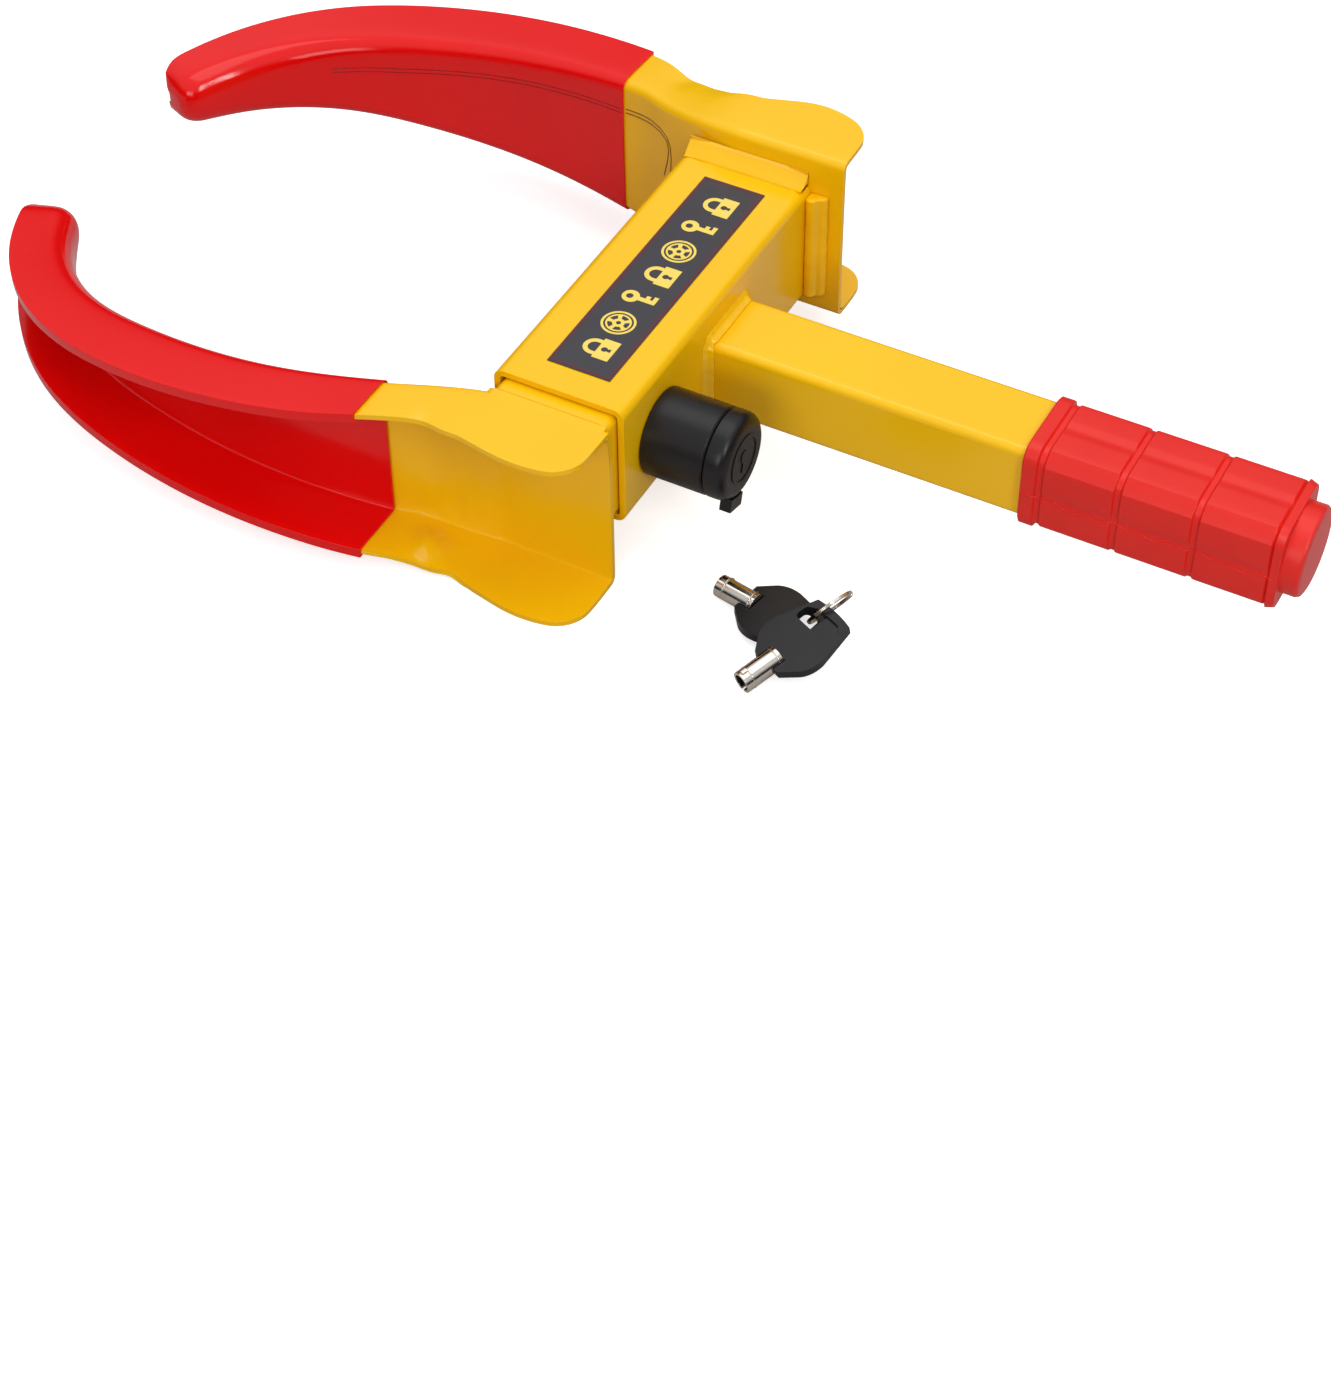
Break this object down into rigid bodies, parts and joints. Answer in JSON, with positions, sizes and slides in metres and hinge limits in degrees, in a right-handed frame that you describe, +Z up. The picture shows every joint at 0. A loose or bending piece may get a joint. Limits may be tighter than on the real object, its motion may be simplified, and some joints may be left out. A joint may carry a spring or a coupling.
{
  "type": "wheel clamp",
  "caption": "Tyre claw wheel clamp: two pressed claws on a telescoping square tube, push-in bolt lock, square handle with ribbed grip, and tubular keys on a ring.",
  "frame": {"origin": "centre of the body tube's flat face that meets the tyre tread", "axes": "+X along the handle, away from the tyre; +Y from the sliding claw to the fixed claw; +Z up as it lies on a floor"},
  "size_m": [0.4883, 0.2406, 0.0857],
  "materials": {
    "yellow_paint": "gloss",
    "red_dip": "gloss",
    "grip_rubber": "satin",
    "black_plastic": "semi-gloss",
    "label": "satin",
    "zinc": "zinc plated",
    "nickel": "polished nickel"
  },
  "bodies": {
    "body": {"body_tube": "yellow_paint", "body_label": "label", "stop_pin": "zinc", "handle_tube": "yellow_paint", "handle_weld": "yellow_paint", "handle_grip": "grip_rubber", "back_jaw": "yellow_paint", "back_jaw_coat": "red_dip", "back_weld_top": "yellow_paint", "back_weld_side": "yellow_paint", "lock_housing": "zinc", "lock_cover": "black_plastic", "lock_retainer": "zinc", "bolt_spring": "zinc"},
    "slide": {"slide_tube": "yellow_paint", "slide_end_plug": "black_plastic", "front_jaw": "yellow_paint", "front_jaw_coat": "red_dip", "front_weld": "yellow_paint"},
    "plunger": {"lock_plunger": "zinc", "lock_bolt": "zinc"},
    "core": {"lock_core": "nickel"},
    "cap": {"dust_cap": "black_plastic"},
    "keys": {"key_a_bow": "black_plastic", "key_a_barrel": "nickel", "key_ring": "nickel"},
    "key_b": {"key_b_bow": "black_plastic", "key_b_barrel": "nickel"}
  },
  "joints": [
    {"name": "jaw_slide", "type": "slide", "parent": "body", "child": "slide", "axis": [0, -1, 0], "range_m": [0, 0.1]},
    {"name": "plunger_push", "type": "slide", "parent": "body", "child": "plunger", "axis": [-1, 0, 0], "range_m": [0, 0.007], "stiffness_N_per_m": 300, "springref_m": -0.002, "deforming": ["bolt_spring"]},
    {"name": "core_turn", "type": "hinge", "parent": "plunger", "child": "core", "pos_m": [0.066, -0.0448, -0.0018], "axis": [1, 0, 0], "range_deg": [0, 90]},
    {"name": "cap_pull", "type": "slide", "parent": "body", "child": "cap", "axis": [1, 0, 0], "range_m": [0, 0.03]},
    {"name": "keys_lift", "type": "slide", "parent": "body", "child": "keys", "axis": [0, 0, 1], "range_m": [0, 0.12]},
    {"name": "key_fan", "type": "hinge", "parent": "keys", "child": "key_b", "pos_m": [0.1212, -0.0695, -0.0378], "axis": [0, 0, 1], "range_deg": [0, 15]}
  ]
}
